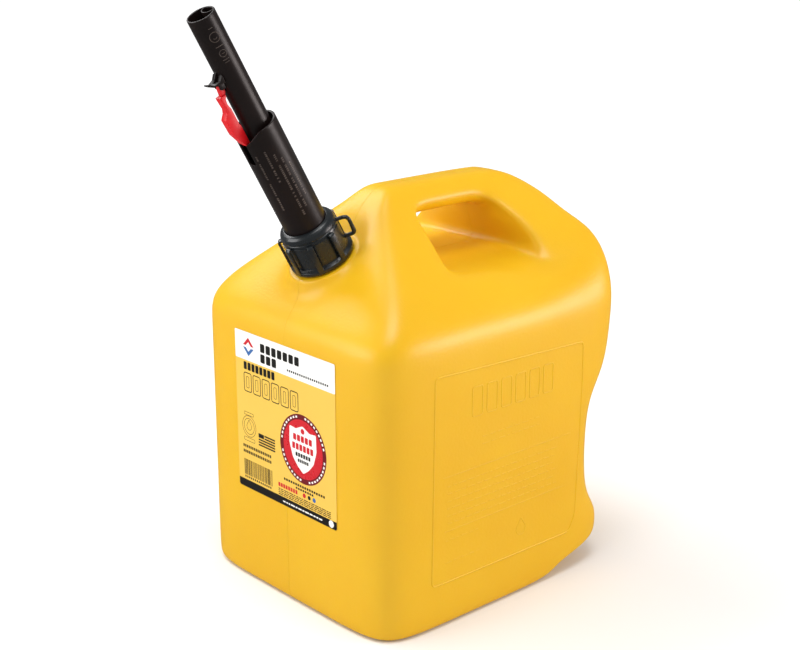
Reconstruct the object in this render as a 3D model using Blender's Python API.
"""Five gallon fuel can with a hand hole through its top and a self-closing pouring spout.

Metres, +Z up. The can stands on z = 0 with its label towards -Y and its handle along Y.
Everything on the spout is modelled upright at the foot of the collar nut and is leaned
forward by one empty, spout_axis.
"""
import math

import bmesh
import bpy
from mathutils import Matrix, Vector

MM = 0.001
GAP = 0.3 * MM                      # running gap between neighbouring pieces

# ---- can, driving sizes ----
FRONT_Y = -150 * MM
WALL = 2.6 * MM
SHOULDER_Z = 264 * MM               # where the straight walls turn into the roof
FLOOR_Z = 303.0 * MM                # floor of the hand hole
GRIP_UNDER_Z = 345.0 * MM           # underside of the handle

# ---- spout axis ----
SPOUT_LEAN = math.radians(29.5)
SPOUT_FOOT = Vector((0.0, -104.3 * MM, 319.2 * MM))

# ---- neck ----
NECK_BORE = 18.4 * MM
NECK_RADIUS = 21.0 * MM
NECK_MOUTH = 22.5 * MM
THREAD_RADIUS = 22.5 * MM
THREAD_PITCH = 6.0 * MM
THREAD_TURNS = 2.25

ARRESTOR_RADIUS = 17.6 * MM
ARRESTOR_WALL = 1.2 * MM
ARRESTOR_FOOT = -36.0 * MM

# ---- collar nut ----
COLLAR_FLANGE = 29.7 * MM
COLLAR_WALL = 25.8 * MM
COLLAR_BORE = 23.0 * MM
COLLAR_CEILING = 30.0 * MM
COLLAR_TOP = 38.4 * MM
LUG_COUNT = 8

# ---- sleeve and nozzle ----
SLEEVE_RADIUS = 19.25 * MM
SLEEVE_BORE = 17.0 * MM
SLEEVE_FOOT = 26.9 * MM
SLEEVE_RIM = 143.0 * MM
SCOOP_DEPTH = 10.0 * MM
SLOT_FOOT = 116.0 * MM              # end of the slot that the lock tab slides in
NOZZLE_OFFSET = 2.5 * MM            # the nozzle lies towards the back of the sleeve
NOZZLE_RADIUS = 12.25 * MM
NOZZLE_BORE = 10.4 * MM
NOZZLE_FOOT = 88.0 * MM
NOZZLE_TIP = 246.5 * MM
WASHER_THICKNESS = 0.6 * MM
HOOK_HEIGHT = 190.5 * MM
TAB_HALF_WIDTH = 3.6 * MM
NECK_SHARE = 0.62                   # width of the tab's neck against its finger
SEAT_TOP = NOZZLE_TIP - 37.5 * MM
SEAT_THICKNESS = 3.0 * MM
PLUG_RADIUS = 5.9 * MM
VENT_Y = NOZZLE_OFFSET + 7.0 * MM
VENT_RADIUS = 2.9 * MM
STEM_RADIUS = 2.0 * MM


def clear_scene():
    for item in list(bpy.data.objects):
        bpy.data.objects.remove(item, do_unlink=True)


def make_material(name, colour, roughness, metallic=0.0):
    material = bpy.data.materials.new(name)
    material.use_nodes = True
    shader = material.node_tree.nodes["Principled BSDF"]
    shader.inputs["Base Color"].default_value = (*colour, 1.0)
    shader.inputs["Roughness"].default_value = roughness
    shader.inputs["Metallic"].default_value = metallic
    return material


def make_object(name, bm, material=None, parent=None, sharp_angle=35.0):
    mesh = bpy.data.meshes.new(name)
    bm.to_mesh(mesh)
    bm.free()
    item = bpy.data.objects.new(name, mesh)
    bpy.context.scene.collection.objects.link(item)
    if material:
        mesh.materials.append(material)
    mesh.shade_smooth()
    mesh.set_sharp_from_angle(angle=math.radians(sharp_angle))
    item.parent = parent
    return item


def as_helper(item):
    """Keep an object as a boolean's tool only."""
    item.hide_render = True
    item.display_type = "WIRE"
    return item


def add_boolean(item, tool, operation):
    modifier = item.modifiers.new(operation.title() + " " + tool.name, "BOOLEAN")
    modifier.operation = operation
    modifier.object = tool
    return modifier


def turned(profile, segments, centre_y=0.0):
    """Turn a closed (radius, height) outline once round the upright axis through centre_y."""
    bm = bmesh.new()
    corners = [bm.verts.new((radius, 0.0, height)) for radius, height in profile]
    edges = [bm.edges.new((a, b)) for a, b in zip(corners, corners[1:] + corners[:1])
             if not (a.co.x == 0.0 and b.co.x == 0.0)]
    bmesh.ops.spin(bm, geom=corners + edges, cent=(0, 0, 0), axis=(0, 0, 1),
                   angle=math.tau, steps=segments, use_merge=True, use_duplicate=False)
    bmesh.ops.remove_doubles(bm, verts=bm.verts, dist=1e-6)
    bmesh.ops.dissolve_degenerate(bm, edges=bm.edges, dist=1e-7)
    bmesh.ops.recalc_face_normals(bm, faces=bm.faces)
    bmesh.ops.translate(bm, verts=bm.verts, vec=(0, centre_y, 0))
    return bm


def prism(outline, low, high, axis="X"):
    """Extrude a closed outline of two coordinates from low to high along one axis."""
    def place(a, b, depth):
        if axis == "X":
            return (depth, a, b)
        return (a, b, depth)
    bm = bmesh.new()
    near = bm.faces.new([bm.verts.new(place(a, b, low)) for a, b in outline])
    grown = bmesh.ops.extrude_face_region(bm, geom=[near])
    shift = Vector(place(0.0, 0.0, high - low))
    moved = [v for v in grown["geom"] if isinstance(v, bmesh.types.BMVert)]
    bmesh.ops.translate(bm, verts=moved, vec=shift)
    bmesh.ops.recalc_face_normals(bm, faces=bm.faces)
    return bm


# ------------------------------------------------------------------ can body

# height, half width, front y, back y, corner radius, back corner radius, height at the back,
# and the four y places of its side columns
BASE_RINGS = (
    (0, 121, -137, 128, 28, 28, 0, (-60, 5, 58, 72)),
    (0, 129.5, -145.5, 137, 36, 36, 0, (-60, 5, 58, 72)),
    (3, 133.2, -149.2, 143, 37, 37, 3, (-60, 5, 58, 72)),
    (13, 134, -150, 145, 38, 38, 10, (-58, 5, 59, 75)),
)
WALL_RINGS = (
    (50, 134, -150, 145, 38, 38, 50, (-55, 0, 45, 75)),
    (76, 134, -150, 127, 38, 38, 71, (-55, -10, 30, 65)),
    (120, 134, -150, 125, 38, 38, 120, (-55, -10, 30, 65)),
    (168, 134, -150, 128, 38, 38, 167, (-55, -10, 30, 65)),
    (196, 134, -150, 151, 38, 38, 194, (-50, -8, 34, 76)),
    (244, 134, -150, 156, 38, 38, 244, (-45, -2, 41, 84)),
    (267, 133, -149.3, 155.5, 35, 34, 270, (-42, 1, 44, 88)),
)
ROOF_RINGS = (
    (286, 118.5, -135, 156, 30, 26, 299, (-39, 4, 46, 89)),
    (305, 96, -113.5, 155, 25, 19, 320, (-34, 7, 47, 88)),
    (323, 74, -94.5, 143, 21, 18, 333, (-29, 9, 47, 85)),
    (341, 50, -76, 137, 17, 18, 349, (-27, 10, 44, 78)),
    (358.5, 28.5, -57.5, 124, 13, 14, 361, (-23, 9, 39, 68)),
    (368.5, 20, -46.5, 109, 9, 9, 368, (-19, 9, 38, 66)),
    (372.5, 12.5, -37, 93, 7, 7, 371, (-17, 10, 37, 64)),
)
RINGS = BASE_RINGS + WALL_RINGS + ROOF_RINGS
BOSS_FIRST = len(BASE_RINGS) + len(WALL_RINGS)      # lowest ring that the neck's boss meets
BOSS_LAST = BOSS_FIRST + 4
HOLE_FIRST = BOSS_FIRST + 1                         # ring along the hand hole's floor
HOLE_LAST = BOSS_LAST                               # ring along the handle's lower edge
HOLE_COLUMNS = (5, 8)
HOLE_SILL = ((7, 2, 10), (8, 6, 19))               # column, outward and down: the sill falls away
CORNER_FULLNESS = 0.80
BOSS_RADII = (40, 40.5, 41.5, 42.5, 43.5, 44.5, 46, 50, 57)

FOOT_END_Y = 59                     # where the flat foot stops and the underside steps up
STEP_END_Y = 71
STEP_HEIGHT = 10
TAIL_HEIGHT = 23                    # underside of the tail at the back wall
TAIL_Y = 136


def underside(y):
    """Height of the can's underside above the ground at a distance y along it."""
    if y <= FOOT_END_Y:
        return 0.0
    if y <= STEP_END_Y:
        return STEP_HEIGHT * (y - FOOT_END_Y) / (STEP_END_Y - FOOT_END_Y)
    share = min(1.0, (y - STEP_END_Y) / (TAIL_Y - STEP_END_Y))
    return STEP_HEIGHT + (TAIL_HEIGHT - STEP_HEIGHT) * share


def ring_points(ring):
    """Half an outline, x >= 0, from the front centre line round to the back one."""
    height, half, front, back, radius, back_radius, back_height, side = ring
    flat = half - radius
    corner = radius * CORNER_FULLNESS
    back_flat = half - back_radius
    back_corner = back_radius * CORNER_FULLNESS
    outline = [(0, front), (flat / 2, front), (flat, front),
               (flat + corner, front + radius - corner), (half, front + radius)]
    outline += [(half, y) for y in side]
    outline += [(half, back - back_radius),
                (back_flat + back_corner, back - back_radius + back_corner),
                (back_flat, back), (back_flat / 2, back), (0, back)]
    is_base = height < 20
    points = []
    for x, y in outline:
        blend = min(max((y - 45) / 80, 0), 1)
        lift = (back_height - height) * blend * blend * (3 - 2 * blend)
        if is_base:
            lift += underside(y)
        points.append(Vector((x, y, height + lift)) * MM)
    return points


def spout_matrix():
    return Matrix.Translation(SPOUT_FOOT) @ Matrix.Rotation(SPOUT_LEAN, 4, "X")


def on_front_slope(x, y):
    """The point of the can's front slope that lies along the spout axis from (x, y)."""
    low = Vector((0, FRONT_Y + 3 * MM, SHOULDER_Z + 4 * MM))
    high = Vector((0, -46 * MM, 371 * MM))
    normal = (high - low).cross(Vector((1, 0, 0)))
    matrix = spout_matrix()
    start = matrix @ Vector((x, y, 0))
    along = matrix.to_3x3() @ Vector((0, 0, 1))
    return start + along * ((low - start).dot(normal) / along.dot(normal))


def strip(bm, first, second, closed=False):
    """Quads between two rows of points."""
    count = len(first)
    for i in range(count if closed else count - 1):
        j = (i + 1) % count
        bm.faces.new((first[i], first[j], second[j], second[i]))


def close_ring(bm, ring, crown, upward):
    """Fill the inside of the lowest or highest ring with rows of quads."""
    rows = [ring[0:4]]
    flat = ring[2].co.x
    for column in range(4, 10):
        edge = ring[column].co
        inner = [bm.verts.new((x, edge.y, edge.z + crown)) for x in (0, flat / 2, flat)]
        rows.append(inner + [ring[column]])
    rows.append([ring[13], ring[12], ring[11], ring[10]])
    for near, far in zip(rows, rows[1:]):
        if upward:
            strip(bm, near, far)
        else:
            strip(bm, far, near)


def hand_hole_loops(bm, rim):
    """Rows of points from the rim of the hand hole in to the can's middle plane."""
    depths = (0.16, 0.52, 1.0)
    middle_front = -25 * MM
    middle_back = 72 * MM
    corner_step = 4 * MM
    loops = []
    for depth in depths:
        loop = []
        for index, vert in enumerate(rim):
            x, y, z = vert.co
            on_floor = index <= 3
            on_top = 6 <= index <= 9
            if on_floor:
                goal = Vector((0, y, FLOOR_Z))
            elif on_top:
                goal = Vector((0, y, GRIP_UNDER_Z))
            else:
                share = (z - FLOOR_Z) / (GRIP_UNDER_Z - FLOOR_Z)
                goal = Vector((0, y, FLOOR_Z + share * (GRIP_UNDER_Z - FLOOR_Z - corner_step)))
            if index in (9, 10, 11, 0):
                goal.y = middle_front - (3 * MM if index == 0 else 0)
            if index in (4, 5):
                goal.y = middle_back + (3 * MM if index == 4 else 0)
            height_share = min(depth * (4 if on_top else 3), 1.0)
            inset = depth ** 1.3 if on_top else depth
            place = Vector((x * (1 - inset), y + (goal.y - y) * min(depth * 2, 1.0),
                            z + (goal.z - z) * height_share))
            loop.append(bm.verts.new(place))
        loops.append(loop)
    return loops


def can_cage():
    """Right half of the can's outer skin, open at the neck, as a coarse cage."""
    bm = bmesh.new()
    rows = [[bm.verts.new(point) for point in ring_points(ring)] for ring in RINGS]

    boss = rows[BOSS_FIRST][0:3] + [rows[i][2] for i in range(BOSS_FIRST + 1, BOSS_LAST)]
    boss += rows[BOSS_LAST][2::-1]
    for step, vert in enumerate(boss):
        angle = math.radians(-90 + 22.5 * step)
        reach = BOSS_RADII[step] * MM
        vert.co = on_front_slope(reach * math.cos(angle), reach * math.sin(angle))
    for column, outward, down in HOLE_SILL:
        rows[HOLE_FIRST][column].co += Vector((outward, 0, -down)) * MM
    for row in rows[BOSS_FIRST + 1:BOSS_LAST]:
        for column in (0, 1):
            bm.verts.remove(row[column])
            row[column] = None

    for low in range(len(rows) - 1):
        for column in range(13):
            in_boss = BOSS_FIRST <= low < BOSS_LAST and column < 2
            in_hole = HOLE_FIRST <= low < HOLE_LAST and HOLE_COLUMNS[0] <= column < HOLE_COLUMNS[1]
            if not in_boss and not in_hole:
                strip(bm, rows[low][column:column + 2], rows[low + 1][column:column + 2])

    matrix = spout_matrix()
    previous = boss
    for radius, height in ((34.8, -2.6), (33.2, -1.8), (26, -1.6), (20.2, -1.6)):
        loop = []
        for step in range(9):
            angle = math.radians(-90 + 22.5 * step)
            spot = Vector((radius * math.cos(angle), radius * math.sin(angle), height)) * MM
            if step in (0, 8):
                spot.x = 0.0
            loop.append(bm.verts.new(matrix @ spot))
        strip(bm, previous, loop)
        previous = loop

    first, last = HOLE_COLUMNS
    rim = rows[HOLE_FIRST][first:last + 1] + [rows[HOLE_FIRST + 1][last], rows[HOLE_FIRST + 2][last]]
    rim += rows[HOLE_LAST][last:first - 1:-1]
    rim += [rows[HOLE_FIRST + 2][first], rows[HOLE_FIRST + 1][first]]
    previous = rim
    for loop in hand_hole_loops(bm, rim):
        strip(bm, previous, loop, closed=True)
        previous = loop

    close_ring(bm, rows[0], 0.0, upward=False)
    close_ring(bm, rows[-1], 0.4 * MM, upward=True)
    for vert in bm.verts:
        if abs(vert.co.x) < 0.01 * MM:
            vert.co.x = 0.0
    loose = [v for v in bm.verts if not v.link_faces]
    bmesh.ops.delete(bm, geom=loose, context="VERTS")
    return bm


def neck_tube(parent):
    """Neck of the can: a plain tube whose foot ends inside the boss."""
    profile = [(NECK_BORE, -6 * MM), (NECK_RADIUS, -6 * MM), (NECK_RADIUS, NECK_MOUTH - 1 * MM),
               (NECK_RADIUS - 1 * MM, NECK_MOUTH), (NECK_BORE, NECK_MOUTH)]
    return as_helper(make_object("neck_tube_tool", turned(profile, 40), parent=parent))


def neck_thread(parent):
    """Right-handed ridge round the neck, sunk a little into its wall."""
    bm = bmesh.new()
    per_turn = 20
    steps = int(THREAD_TURNS * per_turn)
    root = NECK_RADIUS - 0.6 * MM
    start = 3.5 * MM
    section = ((root, -1.6), (THREAD_RADIUS, -0.7), (THREAD_RADIUS, 0.7), (root, 1.6))
    rings = []
    for step in range(steps + 1):
        angle = math.tau * step / per_turn
        rise = start + THREAD_PITCH * step / per_turn
        taper = min(1.0, step / 4 + 0.1, (steps - step) / 4 + 0.1)
        ring = []
        for radius, offset in section:
            reach = root + (radius - root) * taper
            height = rise + offset * MM
            ring.append(bm.verts.new((reach * math.cos(angle), reach * math.sin(angle), height)))
        rings.append(ring)
    for near, far in zip(rings, rings[1:]):
        strip(bm, near, far, closed=True)
    bm.faces.new(rings[0])
    bm.faces.new(rings[-1])
    bmesh.ops.recalc_face_normals(bm, faces=bm.faces)
    return as_helper(make_object("neck_thread_tool", bm, parent=parent))


def build_can(material, spout_axis):
    can = make_object("can_body", can_cage(), material, sharp_angle=60)
    mirror = can.modifiers.new("Mirror", "MIRROR")
    mirror.merge_threshold = 0.00001
    soften = can.modifiers.new("Soften", "SUBSURF")
    soften.levels = 2
    soften.render_levels = 2
    thin_out = can.modifiers.new("Fewer faces", "DECIMATE")
    thin_out.ratio = 0.14
    wall = can.modifiers.new("Wall", "SOLIDIFY")
    wall.thickness = WALL
    wall.offset = -1.0
    add_boolean(can, neck_tube(spout_axis), "UNION")
    add_boolean(can, neck_thread(spout_axis), "UNION")
    return can


def build_label(material):
    """Printed sheet on the flat front face."""
    half = 71 * MM
    low = 93 * MM
    high = 246 * MM
    radius = 4 * MM
    outline = []
    for x, z, start in ((half, high, 0), (-half, high, 90), (-half, low, 180), (half, low, 270)):
        for step in range(4):
            angle = math.radians(start + 30 * step)
            outline.append((x - math.copysign(radius, x) + radius * math.cos(angle),
                            z - math.copysign(radius, z - 160 * MM) + radius * math.sin(angle)))
    bm = prism(outline, 0.0, 0.5 * MM, axis="Z")
    bmesh.ops.rotate(bm, verts=bm.verts, matrix=Matrix.Rotation(math.radians(90), 3, "X"))
    bmesh.ops.translate(bm, verts=bm.verts, vec=(0, FRONT_Y - GAP, 0))
    return make_object("front_label", bm, material)


# ------------------------------------------------------------------ neck and collar

def build_flame_arrestor(material, parent):
    """Slotted cup that hangs in the neck and stops a flame from passing."""
    rim = 21.2 * MM
    cup = ARRESTOR_RADIUS
    wall = ARRESTOR_WALL
    foot = ARRESTOR_FOOT
    seat = NECK_MOUTH + GAP
    lip = seat + wall
    profile = [(rim, seat), (rim, lip), (cup - wall, lip), (cup - wall, foot + wall),
               (0.0, foot + wall), (0.0, foot), (cup, foot), (cup, seat)]
    item = make_object("flame_arrestor", turned(profile, 32), material, parent)
    slots = []
    for turn in range(4):
        slot = bmesh.new()
        bmesh.ops.create_cube(slot, size=1.0)
        bmesh.ops.scale(slot, verts=slot.verts, vec=(60 * MM, 5 * MM, 38 * MM))
        bmesh.ops.translate(slot, verts=slot.verts, vec=(0, 0, -9 * MM))
        turn_by = Matrix.Rotation(math.radians(45 * turn + 22.5), 3, "Z")
        bmesh.ops.rotate(slot, verts=slot.verts, matrix=turn_by)
        slots.append(slot)
    cross = as_helper(make_object("arrestor_slots_tool", slots[0], parent=parent))
    add_boolean(item, cross, "DIFFERENCE")
    for number, slot in enumerate(slots[1:]):
        tool = as_helper(make_object(f"arrestor_slots_tool_{number + 1}", slot, parent=parent))
        add_boolean(item, tool, "DIFFERENCE")
    return item


def build_arrestor_screen(material, parent):
    """Fine steel screen rolled into a tube that lines the arrestor's cup."""
    outer = ARRESTOR_RADIUS - ARRESTOR_WALL - GAP
    inner = outer - 0.5 * MM
    low = ARRESTOR_FOOT + ARRESTOR_WALL + GAP
    high = NECK_MOUTH - 1.5 * MM
    bm = turned([(inner, low), (outer, low), (outer, high), (inner, high)], 32)
    return make_object("arrestor_screen", bm, material, parent)


def lug(angle_degrees, reach, width, low, high, thickness):
    """One open grip bar that stands off the collar's wall and is joined at both ends."""
    root = COLLAR_WALL - 1.0 * MM
    outer = reach
    inner = reach - thickness
    chamfer = 1.2 * MM
    outline = [(root, low), (outer, low), (outer, high - chamfer), (outer - chamfer, high),
               (root, high), (root, high - thickness), (inner, high - thickness),
               (inner, low + thickness), (root, low + thickness)]
    bm = bmesh.new()
    near = bm.faces.new([bm.verts.new((a, -width / 2, b)) for a, b in outline])
    grown = bmesh.ops.extrude_face_region(bm, geom=[near])
    moved = [v for v in grown["geom"] if isinstance(v, bmesh.types.BMVert)]
    bmesh.ops.translate(bm, verts=moved, vec=(0, width, 0))
    bmesh.ops.recalc_face_normals(bm, faces=bm.faces)
    turn_by = Matrix.Rotation(math.radians(angle_degrees), 3, "Z")
    bmesh.ops.rotate(bm, verts=bm.verts, matrix=turn_by)
    return bm


def build_collar(material, parent):
    hole = SLEEVE_RADIUS + 0.4 * MM
    profile = [(COLLAR_BORE, 0.0), (COLLAR_FLANGE, 0.0), (COLLAR_FLANGE, 3.2 * MM),
               (COLLAR_WALL, 4.4 * MM), (COLLAR_WALL, 31 * MM), (COLLAR_WALL - 1.1 * MM, 34.8 * MM),
               (COLLAR_WALL - 3.4 * MM, 37.3 * MM), (COLLAR_WALL - 5.4 * MM, COLLAR_TOP),
               (hole, COLLAR_TOP), (hole, COLLAR_CEILING), (COLLAR_BORE, COLLAR_CEILING)]
    item = make_object("collar_nut", turned(profile, 40), material, parent)
    bars = []
    for number in range(LUG_COUNT):
        angle = 48 + 360 / LUG_COUNT * number
        if number == 0:
            bars.append(lug(angle, 37.5 * MM, 5.5 * MM, 9 * MM, 31 * MM, 2.6 * MM))
        else:
            bars.append(lug(angle, 30.2 * MM, 5.0 * MM, 1.6 * MM, 29.5 * MM, 1.9 * MM))
    for number, bar in enumerate(bars):
        tool = as_helper(make_object(f"collar_lug_tool_{number + 1}", bar, parent=parent))
        add_boolean(item, tool, "UNION")
    return item


def build_gasket(material, parent):
    low = NECK_MOUTH + 1.2 * MM + 2 * GAP
    high = SLEEVE_FOOT - GAP
    profile = [(18.6 * MM, low), (22.3 * MM, low), (22.3 * MM, high), (18.6 * MM, high)]
    return make_object("neck_gasket", turned(profile, 32), material, parent)


# ------------------------------------------------------------------ sleeve and what it holds

def scoop_drop(angle):
    """How far the sleeve's rim dips at an angle from the front."""
    share = max(0.0, 1.0 - abs(angle) / math.radians(75))
    return SCOOP_DEPTH * share * share * (3 - 2 * share)


def build_sleeve(material, parent):
    flange = 22.3 * MM
    profile = [(SLEEVE_BORE, SLEEVE_FOOT), (flange, SLEEVE_FOOT), (flange, SLEEVE_FOOT + 2.8 * MM),
               (SLEEVE_RADIUS, SLEEVE_FOOT + 2.8 * MM), (SLEEVE_RADIUS, 100 * MM),
               (SLEEVE_RADIUS, SLEEVE_RIM - 0.6 * MM), (SLEEVE_RADIUS - 0.6 * MM, SLEEVE_RIM),
               (SLEEVE_BORE, SLEEVE_RIM), (SLEEVE_BORE, 100 * MM)]
    bm = turned(profile, 40)
    for vert in bm.verts:
        if vert.co.z > 120 * MM:
            from_front = math.atan2(vert.co.x, -vert.co.y)
            vert.co.z -= scoop_drop(from_front)
    item = make_object("spout_sleeve", bm, material, parent)
    slot_outline = [(-30 * MM, SLOT_FOOT), (-12 * MM, SLOT_FOOT), (-12 * MM, 160 * MM),
                    (-30 * MM, 160 * MM)]
    half = TAB_HALF_WIDTH + 0.7 * MM
    slot = as_helper(make_object("sleeve_slot_tool", prism(slot_outline, -half, half), parent=parent))
    add_boolean(item, slot, "DIFFERENCE")
    return item


def build_spider(material, parent):
    """Three-armed holder at the sleeve's foot that carries the valve stem."""
    low = 30.0 * MM
    high = 34.0 * MM
    ring = [(9.5 * MM, low), (SLEEVE_BORE - GAP, low), (SLEEVE_BORE - GAP, high), (9.5 * MM, high)]
    item = make_object("stem_spider", turned(ring, 32), material, parent)
    hub = turned([(0.0, high), (0.0, low), (3.8 * MM, low), (3.8 * MM, high)], 20)
    tool = as_helper(make_object("spider_hub_tool", hub, parent=parent))
    for number in range(3):
        arm = bmesh.new()
        bmesh.ops.create_cube(arm, size=1.0)
        bmesh.ops.scale(arm, verts=arm.verts, vec=(9.0 * MM, 2.6 * MM, 3.2 * MM))
        bmesh.ops.translate(arm, verts=arm.verts, vec=(7.3 * MM, 0, (low + high) / 2))
        turn_by = Matrix.Rotation(math.radians(90 + 120 * number), 3, "Z")
        bmesh.ops.rotate(arm, verts=arm.verts, matrix=turn_by)
        add_boolean(item, as_helper(make_object(f"spider_arm_tool_{number + 1}", arm, parent=parent)), "UNION")
    add_boolean(item, tool, "UNION")
    return item


def build_stem(material, parent):
    low = 34.0 * MM + GAP
    high = SEAT_TOP + 5.0 * MM
    bm = turned([(0.0, high), (0.0, low), (STEM_RADIUS, low), (STEM_RADIUS, high)], 16)
    return make_object("valve_stem", bm, material, parent)


def build_plug(material, parent):
    low = SEAT_TOP + 2.2 * MM
    high = low + 6.0 * MM
    bore = STEM_RADIUS + GAP
    ceiling = SEAT_TOP + 5.0 * MM + GAP
    profile = [(0.0, high), (0.0, ceiling), (bore, ceiling), (bore, low), (PLUG_RADIUS, low),
               (PLUG_RADIUS, high - 2 * MM), (PLUG_RADIUS - 2 * MM, high)]
    return make_object("valve_plug", turned(profile, 24), material, parent)


def build_plug_seal(material, parent):
    low = SEAT_TOP + GAP
    high = SEAT_TOP + 1.9 * MM
    bore = STEM_RADIUS + GAP
    profile = [(bore, low), (PLUG_RADIUS, low), (PLUG_RADIUS, high), (bore, high)]
    return make_object("plug_seal", turned(profile, 24), material, parent)


def build_guide_bush(material, parent):
    """Bush inside the sleeve: round outside, with the nozzle's off-centre bore and seal groove."""
    low = 92.0 * MM
    high = 103.0 * MM
    outer = SLEEVE_BORE - GAP
    body = turned([(0.0, high), (0.0, low), (outer, low), (outer, high)], 36)
    item = make_object("guide_bush", body, material, parent)
    bore = NOZZLE_RADIUS + 0.35 * MM
    groove = NOZZLE_RADIUS + 1.35 * MM
    middle = (low + high) / 2
    cut = [(0.0, high + 1 * MM), (0.0, low - 1 * MM), (bore, low - 1 * MM), (bore, middle - 1 * MM),
           (groove, middle - 1 * MM), (groove, middle + 1 * MM), (bore, middle + 1 * MM),
           (bore, high + 1 * MM)]
    tool = make_object("bush_bore_tool", turned(cut, 36, NOZZLE_OFFSET), parent=parent)
    add_boolean(item, as_helper(tool), "DIFFERENCE")
    return item


def ring_seal(major, minor, height, segments=32, around=8):
    profile = [(major + minor * math.cos(math.tau * i / around),
                height + minor * math.sin(math.tau * i / around)) for i in range(around)]
    return turned(profile, segments, NOZZLE_OFFSET)


def build_nozzle_seal(material, parent):
    bm = ring_seal(NOZZLE_RADIUS + 0.82 * MM, 0.5 * MM, 97.5 * MM)
    return make_object("nozzle_seal", bm, material, parent)


def build_spring(material, parent):
    """Return spring between the stem's holder and the foot of the nozzle."""
    wire = 0.8 * MM
    coil = 11.6 * MM
    low = 34.0 * MM + GAP + wire
    high = NOZZLE_FOOT - WASHER_THICKNESS - 2 * GAP - wire
    turns = 6
    per_turn = 14
    sides = 6
    steps = turns * per_turn
    bm = bmesh.new()
    rings = []
    for step in range(steps + 1):
        share = step / steps
        ease = share - 0.6 * math.sin(math.tau * share) / math.tau
        angle = math.tau * turns * share
        centre = Vector((coil * math.cos(angle), coil * math.sin(angle), low + (high - low) * ease))
        outward = Vector((math.cos(angle), math.sin(angle), 0))
        ring = []
        for side in range(sides):
            turn_by = math.tau * side / sides
            spot = centre + outward * wire * math.cos(turn_by) + Vector((0, 0, wire * math.sin(turn_by)))
            ring.append(bm.verts.new(spot + Vector((0, NOZZLE_OFFSET, 0))))
        rings.append(ring)
    for near, far in zip(rings, rings[1:]):
        strip(bm, near, far, closed=True)
    bm.faces.new(rings[0])
    bm.faces.new(rings[-1])
    bmesh.ops.recalc_face_normals(bm, faces=bm.faces)
    return make_object("return_spring", bm, material, parent)


def build_spring_washer(material, parent):
    """Steel washer that keeps the spring from cutting into the nozzle's foot."""
    high = NOZZLE_FOOT - GAP
    low = high - WASHER_THICKNESS
    bm = turned([(10.6 * MM, low), (13.2 * MM, low), (13.2 * MM, high), (10.6 * MM, high)], 28,
                NOZZLE_OFFSET)
    return make_object("spring_washer", bm, material, parent)


# ------------------------------------------------------------------ nozzle group

def build_nozzle(material, parent):
    """Sliding nozzle: a tube with a stop flange at its foot and a hook below its tip."""
    stop = 13.6 * MM
    edge = 0.6 * MM
    profile = [(NOZZLE_BORE, NOZZLE_FOOT), (stop, NOZZLE_FOOT), (stop, NOZZLE_FOOT + 3 * MM),
               (NOZZLE_RADIUS, NOZZLE_FOOT + 3 * MM), (NOZZLE_RADIUS, NOZZLE_TIP - edge),
               (NOZZLE_RADIUS - edge, NOZZLE_TIP), (NOZZLE_BORE, NOZZLE_TIP)]
    item = make_object("nozzle_tube", turned(profile, 36, NOZZLE_OFFSET), material, parent)
    root = NOZZLE_OFFSET - NOZZLE_RADIUS
    hook = [(root + 0.9 * MM, HOOK_HEIGHT), (root - 9 * MM, HOOK_HEIGHT + 1.2 * MM),
            (root - 13.5 * MM, HOOK_HEIGHT + 4.6 * MM), (root - 13.0 * MM, HOOK_HEIGHT + 5.8 * MM),
            (root - 8.6 * MM, HOOK_HEIGHT + 2.9 * MM), (root - 3 * MM, HOOK_HEIGHT + 3.2 * MM),
            (root + 0.9 * MM, HOOK_HEIGHT + 7 * MM)]
    half = 6.5 * MM
    bm = prism(hook, -half, half)
    for vert in bm.verts:
        beyond = max(0.0, (root - 2 * MM - vert.co.y) / (11.5 * MM))
        vert.co.x *= 1 - 0.55 * min(1.0, beyond)
    add_boolean(item, as_helper(make_object("nozzle_hook_tool", bm, parent=parent)), "UNION")
    ears = []
    ear_outline = [(root + 0.9 * MM, HOOK_HEIGHT - 5.2 * MM), (root - 5.0 * MM, HOOK_HEIGHT - 5.2 * MM),
                   (root - 5.0 * MM, HOOK_HEIGHT + 1 * MM), (root + 0.9 * MM, HOOK_HEIGHT + 1 * MM)]
    inner = TAB_HALF_WIDTH * NECK_SHARE + GAP
    for side in (-1, 1):
        low, high = sorted((side * inner, side * (inner + 1.5 * MM)))
        ears.append(prism(ear_outline, low, high))
    for number, ear in enumerate(ears):
        tool = as_helper(make_object(f"nozzle_ear_tool_{number + 1}", ear, parent=parent))
        add_boolean(item, tool, "UNION")
    return item


def build_vent_tube(material, parent):
    low = 80.0 * MM
    high = NOZZLE_TIP - 0.5 * MM
    bore = VENT_RADIUS - 0.9 * MM
    profile = [(bore, low), (VENT_RADIUS, low), (VENT_RADIUS, high), (bore, high)]
    return make_object("vent_tube", turned(profile, 20, VENT_Y), material, parent)


def build_valve_seat(material, parent):
    """Disc across the nozzle with the main port and the hole that holds the vent tube."""
    outer = NOZZLE_BORE - GAP
    low = SEAT_TOP - SEAT_THICKNESS
    disc = turned([(0.0, SEAT_TOP), (0.0, low), (outer, low), (outer, SEAT_TOP)], 32, NOZZLE_OFFSET)
    item = make_object("valve_seat", disc, material, parent)
    for name, radius, centre in (("port", 4.9 * MM, 0.0), ("vent_hole", VENT_RADIUS + GAP, VENT_Y)):
        cut = turned([(0.0, SEAT_TOP + 1 * MM), (0.0, low - 1 * MM), (radius, low - 1 * MM),
                      (radius, SEAT_TOP + 1 * MM)], 24, centre)
        add_boolean(item, as_helper(make_object(f"seat_{name}_tool", cut, parent=parent)), "DIFFERENCE")
    return item


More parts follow.
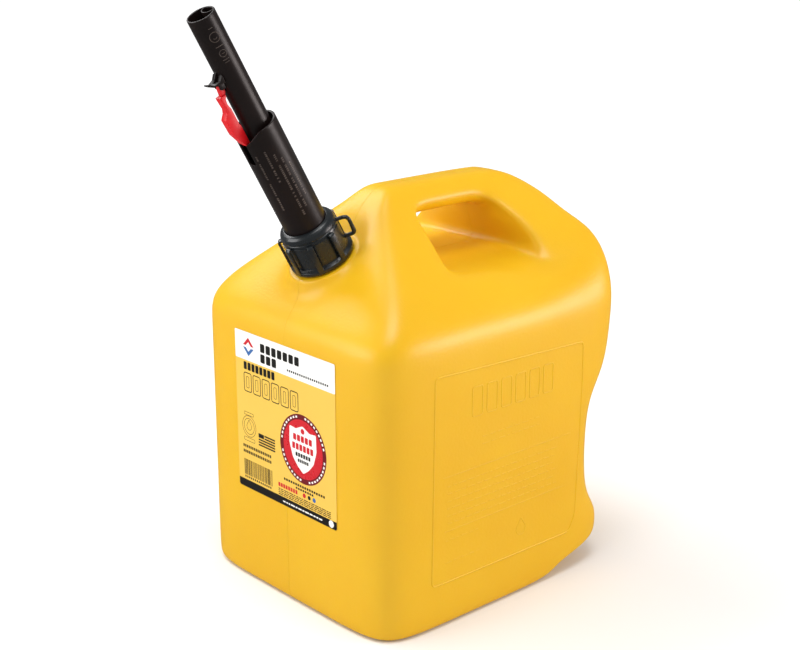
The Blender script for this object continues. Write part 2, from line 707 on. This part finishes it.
TAB_HINGE_Y = NOZZLE_OFFSET - NOZZLE_RADIUS - 2.9 * MM
TAB_HINGE_Z = HOOK_HEIGHT - 2.7 * MM


def build_lock_tab(material, parent):
    """Child-lock lever: a narrow neck on its pin under the hook and a long finger below."""
    finger = [(0.0, -7.0), (0.0, -8.0), (-1.8, -10.5), (-2.4, -15.0), (-1.2, -20.0), (-1.2, -35.0),
              (-0.4, -36.5), (-0.4, -55.0), (-3.2, -57.0), (-6.4, -52.0), (-10.6, -40.0),
              (-11.2, -25.5), (-7.0, -21.5), (-5.6, -18.0), (-6.4, -7.0)]
    neck = [(-1.9, 1.9), (1.9, 1.9), (1.9, -5.5), (-0.2, -8.5), (-3.4, -8.5), (-2.6, -2.0)]
    half = TAB_HALF_WIDTH
    item = make_object("lock_tab", prism([(a * MM, b * MM) for a, b in finger], -half, half),
                       material, parent)
    half *= NECK_SHARE
    top = make_object("tab_neck_tool", prism([(a * MM, b * MM) for a, b in neck], -half, half),
                      parent=parent)
    hole = turned([(0.0, 6 * MM), (0.0, -6 * MM), (1.0 * MM, -6 * MM), (1.0 * MM, 6 * MM)], 12)
    bmesh.ops.rotate(hole, verts=hole.verts, matrix=Matrix.Rotation(math.radians(90), 3, "Y"))
    eye = make_object("tab_hole_tool", hole, parent=parent)
    for piece in (item, top, eye):
        piece.location = (0, TAB_HINGE_Y, TAB_HINGE_Z)
    add_boolean(item, as_helper(top), "UNION")
    add_boolean(item, as_helper(eye), "DIFFERENCE")
    return item


def build_tab_pin(material, parent):
    """Short pin between the two ears under the hook; the lock tab turns on it."""
    half = TAB_HALF_WIDTH * NECK_SHARE + 0.05 * MM
    radius = 0.9 * MM
    bm = turned([(0.0, half), (0.0, -half), (radius, -half), (radius, half)], 12)
    bmesh.ops.rotate(bm, verts=bm.verts, matrix=Matrix.Rotation(math.radians(90), 3, "Y"))
    item = make_object("tab_pin", bm, material, parent)
    item.location = (0, TAB_HINGE_Y, TAB_HINGE_Z)
    return item


def main():
    clear_scene()
    can_yellow = make_material("can yellow", (0.93, 0.56, 0.02), 0.38)
    label_print = make_material("label print", (0.95, 0.78, 0.12), 0.30)
    spout_black = make_material("spout black", (0.020, 0.014, 0.012), 0.32)
    collar_black = make_material("collar black", (0.014, 0.018, 0.022), 0.25)
    inner_black = make_material("inner black", (0.03, 0.03, 0.032), 0.45)
    tab_red = make_material("tab red", (0.75, 0.02, 0.03), 0.35)
    seal_rubber = make_material("seal rubber", (0.02, 0.02, 0.02), 0.7)
    spring_steel = make_material("spring steel", (0.6, 0.6, 0.62), 0.3, 1.0)
    valve_white = make_material("valve white", (0.8, 0.8, 0.78), 0.4)

    spout_axis = bpy.data.objects.new("spout_axis", None)
    bpy.context.scene.collection.objects.link(spout_axis)
    spout_axis.matrix_world = spout_matrix()

    build_can(can_yellow, spout_axis)
    build_label(label_print)
    build_flame_arrestor(inner_black, spout_axis)
    build_arrestor_screen(spring_steel, spout_axis)
    build_gasket(seal_rubber, spout_axis)
    build_collar(collar_black, spout_axis)
    build_sleeve(spout_black, spout_axis)
    build_spider(inner_black, spout_axis)
    build_stem(valve_white, spout_axis)
    build_plug(valve_white, spout_axis)
    build_plug_seal(seal_rubber, spout_axis)
    build_guide_bush(inner_black, spout_axis)
    build_nozzle_seal(seal_rubber, spout_axis)
    build_spring(spring_steel, spout_axis)
    build_spring_washer(spring_steel, spout_axis)
    build_nozzle(spout_black, spout_axis)
    build_vent_tube(inner_black, spout_axis)
    build_valve_seat(valve_white, spout_axis)
    build_lock_tab(tab_red, spout_axis)
    build_tab_pin(spring_steel, spout_axis)


main()
